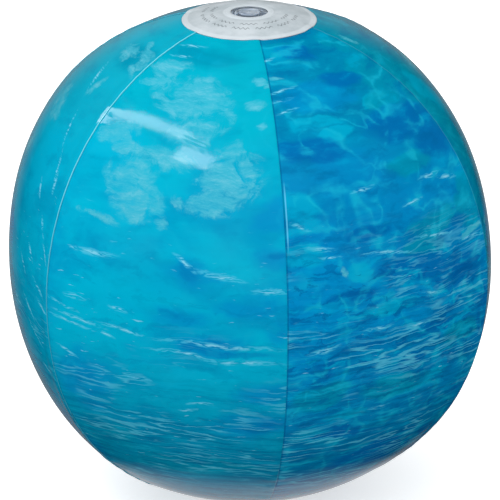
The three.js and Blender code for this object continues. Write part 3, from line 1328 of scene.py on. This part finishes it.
def strap_object(material):
    """The strap: a flat strip that leaves the stem, bends once and reaches the plug's head."""
    low, high = STRAP_BOX
    thickness = 0.8 * MM
    half_width = (high.y - low.y) / 2
    lower = low.z + thickness / 2
    upper = high.z - thickness / 2
    bend_x = low.x + (upper - lower) / 2 + thickness / 2
    bend_z = (upper + lower) / 2
    turn_radius = (upper - lower) / 2
    bends = 14
    line = [(high.x, lower)]
    for step in range(bends + 1):
        angle = -math.pi / 2 - math.pi * step / bends
        line.append((bend_x + turn_radius * math.cos(angle), bend_z + turn_radius * math.sin(angle)))
    line.append((-PLUG_BOX[1].x - 0.3 * MM, upper))
    bm = bmesh.new()
    verts = [bm.verts.new((x, -half_width, z)) for x, z in line]
    edges = [bm.edges.new(pair) for pair in zip(verts, verts[1:])]
    widened = bmesh.ops.extrude_edge_only(bm, edges=edges)
    moved = [item for item in widened["geom"] if isinstance(item, bmesh.types.BMVert)]
    bmesh.ops.translate(bm, verts=moved, vec=(0, 2 * half_width, 0))
    bmesh.ops.recalc_face_normals(bm, faces=bm.faces[:])
    piece = make_object("plug_strap_strip", bm, [material])
    wall = piece.modifiers.new("strap thickness", "SOLIDIFY")
    wall.thickness = thickness
    wall.offset = 0
    return rounded(piece, 0.18 * MM)


class BEACHBALL_OT_valve(bpy.types.Operator):
    """Builds the valve's flange, skirt, stem, plug and strap"""

    bl_idname = "beach_ball.valve"
    bl_label = "Valve"

    def execute(self, context):
        valve = context.scene.beach_ball_valve
        clear = clear_pvc()
        stand_for(flange_object(clear), "valve_flange", "ball")
        stand_for(stem_object(valve, clear), "valve_stem", "stem")
        stand_for(plug_object(valve, clear), "valve_plug", "plug")

        skirt = skirt_object(clear)
        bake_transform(skirt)
        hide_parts("valve_skirt")

        strap = strap_object(clear)
        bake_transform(strap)
        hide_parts("plug_strap")

        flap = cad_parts["check_flap"]
        flap.data.materials.clear()
        flap.data.materials.append(clear)
        return {"FINISHED"}


# ---- Stage ---------------------------------------------------------------------------------------


class BeachBallStage(bpy.types.PropertyGroup):
    """Camera, light and floor."""

    azimuth: bpy.props.FloatProperty(
        name="Camera azimuth", description="Angle of the camera round the ball, from the front seam",
        default=math.radians(-8.4), subtype="ANGLE",
    )
    elevation: bpy.props.FloatProperty(
        name="Camera elevation", description="Angle of the camera above the ball's middle",
        default=math.radians(19.5), subtype="ANGLE",
    )
    distance: bpy.props.FloatProperty(
        name="Camera distance", description="From the camera to the ball's middle",
        default=3.618, min=1, max=10, unit="LENGTH",
    )
    lens: bpy.props.FloatProperty(
        name="Lens", description="Focal length on a 36 mm sensor, in millimetres",
        default=452.9, min=50, max=1000,
    )
    floor_color: bpy.props.FloatVectorProperty(
        name="Floor colour", description="Colour of the pale floor",
        default=linear("#f2f2f2"), size=4, min=0, max=1, subtype="COLOR",
    )


LIGHT_DISTANCE = 1.6


def direction(azimuth, elevation):
    """A unit vector from angles in degrees: the azimuth from +X and the height above the floor."""
    a, e = math.radians(azimuth), math.radians(elevation)
    return Vector((math.cos(e) * math.cos(a), math.cos(e) * math.sin(a), math.sin(e)))


def soft_box(name, toward, long_axis, length, width, radiance):
    """A rectangular soft light that faces the ball. Its radiance is what a mirror would show."""
    light = bpy.data.lights.new(name, "AREA")
    light.shape = "RECTANGLE"
    light.size = length
    light.size_y = width
    light.energy = radiance * math.pi * length * width
    lamp = bpy.data.objects.new(name, light)
    back = toward.normalized()
    side = (long_axis - long_axis.dot(back) * back).normalized()
    turn = Matrix((side, back.cross(side), back)).transposed()
    lamp.matrix_world = Matrix.Translation(Vector((0, 0, CENTRE_Z)) + back * LIGHT_DISTANCE) @ turn.to_4x4()
    bpy.context.scene.collection.objects.link(lamp)
    return lamp


def floor_material(color):
    """Pale matt floor. A mirror sees a bright spot of it at the ball's foot, and past it the room."""
    material, tree = new_material("pale_floor")
    place = add_node(tree, "ShaderNodeTexCoord").outputs["Object"]
    distance = add_node(tree, "ShaderNodeVectorMath", {0: place}, operation="LENGTH").outputs["Value"]
    foot = add_node(tree, "ShaderNodeEmission", {"Color": (0.92, 0.93, 0.95, 1), "Strength": 0.62})
    mirrored_floor = add_node(
        tree,
        "ShaderNodeMixShader",
        {
            0: where(tree, (distance, 0.102, 0.07)),
            1: add_node(tree, "ShaderNodeBsdfTransparent").outputs[0],
            2: foot.outputs[0],
        },
    )
    path = add_node(tree, "ShaderNodeLightPath")
    grain = add_node(tree, "ShaderNodeTexNoise", {"Vector": place, "Scale": per(40), "Detail": 3.0})
    shade = add_node(
        tree,
        "ShaderNodeMix",
        {
            FACTOR: where(tree, (grain.outputs["Fac"], 0.3, 0.7)),
            COLOR_A: color,
            COLOR_B: linear("#f6f6f6"),
        },
        data_type="RGBA",
    )
    matt = add_node(tree, "ShaderNodeBsdfDiffuse", {"Color": shade.outputs[COLOR_OUT]})
    lift = add_node(tree, "ShaderNodeEmission", {"Color": (1, 1, 1, 1), "Strength": 0.56})
    seen = add_node(tree, "ShaderNodeAddShader", {0: matt.outputs[0], 1: lift.outputs[0]})
    dim = add_node(tree, "ShaderNodeBsdfDiffuse", {"Color": linear("#aeb0b2")})
    by_camera = add_node(
        tree,
        "ShaderNodeMixShader",
        {0: path.outputs["Is Camera Ray"], 1: dim.outputs[0], 2: seen.outputs[0]},
    )
    surface = add_node(
        tree,
        "ShaderNodeMixShader",
        {0: path.outputs["Is Glossy Ray"], 1: by_camera.outputs[0], 2: mirrored_floor.outputs[0]},
    )
    finish_material(tree, surface)
    material.cycles.emission_sampling = "NONE"
    return material


def studio_world(key, forward):
    """Soft light from all round, brightest from the key side. A mirror sees only a bright backdrop."""
    world = bpy.data.worlds.new("studio")
    world.use_nodes = True
    tree = world.node_tree
    tree.nodes.clear()
    toward = add_node(tree, "ShaderNodeTexCoord").outputs["Generated"]
    path = add_node(tree, "ShaderNodeLightPath")
    lit = add_node(tree, "ShaderNodeVectorMath", {0: toward, 1: key}, operation="DOT_PRODUCT")
    fill = add_node(
        tree,
        "ShaderNodeMapRange",
        {"Value": lit.outputs["Value"], "From Min": -1.0, "From Max": 1.0, "To Min": 0.46, "To Max": 1.46},
    )
    soft = add_node(
        tree, "ShaderNodeBackground", {"Color": (0.97, 0.99, 1, 1), "Strength": fill.outputs["Result"]}
    )
    # The backdrop's edges, as angles from the way forward: each fades from the first to the second.
    right = forward.cross(Vector((0, 0, 1))).normalized()
    ahead = add_node(tree, "ShaderNodeVectorMath", {0: toward, 1: forward}, operation="DOT_PRODUCT")
    backdrop = where(tree, (ahead.outputs["Value"], 0.0, 0.2))
    for side, outer, inner in (
        (right, 22, 8),
        (-right, 30, 10),
        (right.cross(forward), 46, 28),
        (forward.cross(right), 24, 9),
    ):
        aside = add_node(tree, "ShaderNodeVectorMath", {0: toward, 1: side}, operation="DOT_PRODUCT")
        edge = (aside.outputs["Value"], math.sin(math.radians(outer)), math.sin(math.radians(inner)))
        backdrop = where(tree, edge, mask=backdrop)
    strength = add_node(tree, "ShaderNodeMath", {0: backdrop, 1: 0.18}, operation="MULTIPLY")
    mirrored_room = add_node(
        tree, "ShaderNodeBackground", {"Color": (1, 1, 1, 1), "Strength": strength.outputs[0]}
    )
    white = add_node(tree, "ShaderNodeBackground", {"Color": (1, 1, 1, 1), "Strength": 1.0})
    for_light = add_node(
        tree,
        "ShaderNodeMixShader",
        {0: path.outputs["Is Glossy Ray"], 1: soft.outputs[0], 2: mirrored_room.outputs[0]},
    )
    surface = add_node(
        tree,
        "ShaderNodeMixShader",
        {0: path.outputs["Is Camera Ray"], 1: for_light.outputs[0], 2: white.outputs[0]},
    )
    add_node(tree, "ShaderNodeOutputWorld", {"Surface": surface.outputs[0]})
    # Sampled by the surfaces alone, because it looks different to a mirror and to a matt surface.
    world.cycles.sampling_method = "NONE"
    bpy.context.scene.world = world


class BEACHBALL_OT_stage(bpy.types.Operator):
    """Sets up the floor, the lights and the camera"""

    bl_idname = "beach_ball.stage"
    bl_label = "Stage"

    def execute(self, context):
        stage = context.scene.beach_ball_stage
        a, e = stage.azimuth, stage.elevation
        back = Vector((math.sin(a) * math.cos(e), -math.cos(a) * math.cos(e), math.sin(e)))

        bm = bmesh.new()
        bmesh.ops.create_grid(bm, x_segments=1, y_segments=1, size=20.0)
        floor = make_object("floor", bm, [floor_material(stage.floor_color)], smooth=False)

        studio_world(direction(-118, 14), -back)
        right_end, left_end = direction(-138, 56.5), direction(134, 28)
        soft_box("strip_light", right_end + left_end, left_end - right_end, 2.0, 0.14, 4.2)
        soft_box("small_light", direction(-140, 50.5), direction(-50, 0), 0.34, 0.2, 4.6)

        camera_data = bpy.data.cameras.new("camera")
        camera_data.sensor_width = 36
        camera_data.lens = stage.lens
        camera_data.shift_x = 0.0016
        camera_data.shift_y = 0.0024
        camera_data.clip_end = 100
        camera = bpy.data.objects.new("camera", camera_data)
        camera.location = Vector((0, 0, CENTRE_Z)) + back * stage.distance
        camera.rotation_mode = "QUATERNION"
        camera.rotation_quaternion = (-back).to_track_quat("-Z", "Y")
        context.scene.collection.objects.link(camera)
        context.scene.camera = camera
        context.scene.view_settings.view_transform = "Standard"
        return {"FINISHED"}


# ---- Sidebar and registration --------------------------------------------------------------------

OPERATORS = (BEACHBALL_OT_gores, BEACHBALL_OT_discs, BEACHBALL_OT_valve, BEACHBALL_OT_stage)
SETTINGS = {
    "beach_ball_film": BeachBallFilm,
    "beach_ball_discs": BeachBallDiscs,
    "beach_ball_valve": BeachBallValve,
    "beach_ball_stage": BeachBallStage,
}


class BEACHBALL_PT_panel(bpy.types.Panel):
    """Lists the ball's parts and their sizes"""

    bl_idname = "BEACHBALL_PT_panel"
    bl_label = "Beach ball"
    bl_space_type = "VIEW_3D"
    bl_region_type = "UI"
    bl_category = "Beach ball"

    def draw(self, context):
        for operator, name in zip(OPERATORS, SETTINGS):
            box = self.layout.box()
            box.operator(operator.bl_idname)
            group = getattr(context.scene, name)
            for key in group.__annotations__:
                box.prop(group, key)


def register():
    for name, group in SETTINGS.items():
        bpy.utils.register_class(group)
        setattr(bpy.types.Scene, name, bpy.props.PointerProperty(type=group))
    for operator in OPERATORS:
        bpy.utils.register_class(operator)
    bpy.utils.register_class(BEACHBALL_PT_panel)


def unregister():
    bpy.utils.unregister_class(BEACHBALL_PT_panel)
    for operator in reversed(OPERATORS):
        bpy.utils.unregister_class(operator)
    for name, group in reversed(SETTINGS.items()):
        delattr(bpy.types.Scene, name)
        bpy.utils.unregister_class(group)


def main():
    """Builds the ball and its stage."""
    register()
    bpy.ops.beach_ball.gores()
    bpy.ops.beach_ball.discs()
    bpy.ops.beach_ball.valve()
    bpy.ops.beach_ball.stage()


if __name__ == "__main__":
    main()
